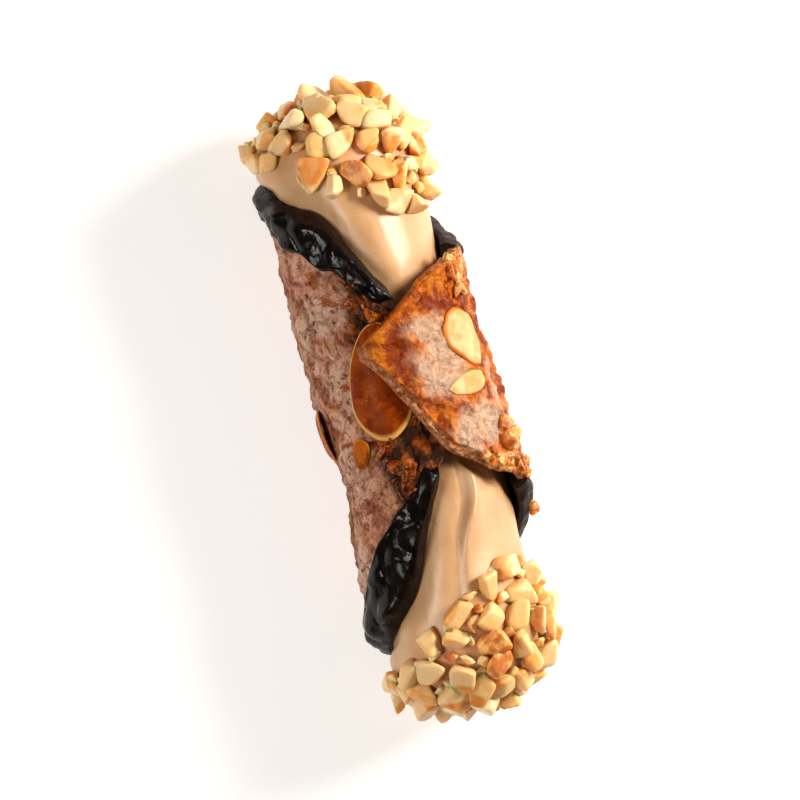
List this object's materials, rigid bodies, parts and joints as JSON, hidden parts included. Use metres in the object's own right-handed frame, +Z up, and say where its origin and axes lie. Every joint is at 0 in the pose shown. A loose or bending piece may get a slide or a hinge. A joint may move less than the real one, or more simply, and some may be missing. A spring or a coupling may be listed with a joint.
{
  "type": "cannolo",
  "caption": "Rolled almond wafer lapped over at a front seam, rims dipped in dark chocolate, filled with hazelnut cream, both ends crusted with chopped nuts.",
  "frame": {"origin": "bottom centre of the object's bounding box, on the flat strip that it rests on", "axes": "+X along the roll, +Z up through the seam side, +Y towards the side that the flap comes from"},
  "size_m": [0.1306, 0.0416, 0.0384],
  "materials": {
    "wafer": "baked caramel and almond wafer: glossy amber on the flap, dull pinkish brown and finely pitted on the back",
    "dark_chocolate": "glossy lumpy dark chocolate, duller inside the mouths",
    "hazelnut_cream": "smooth tan cream with a soft sheen",
    "chopped_nuts": "pale ivory to toasted yellow, waxy cut faces",
    "almond_flake": "translucent amber under a caramel glaze, with a paler rim"
  },
  "bodies": {
    "root": {"shell": "wafer", "chocolate": "dark_chocolate", "cream": "hazelnut_cream", "nuts_left": "chopped_nuts", "nuts_right": "chopped_nuts", "flake_front": "almond_flake", "flake_front_low": "almond_flake", "flake_flap": "almond_flake", "flake_flap_low": "almond_flake", "flake_side": "almond_flake", "flake_back_left": "almond_flake", "flake_back_right": "almond_flake", "flake_back_flap": "almond_flake"}
  },
  "joints": []
}
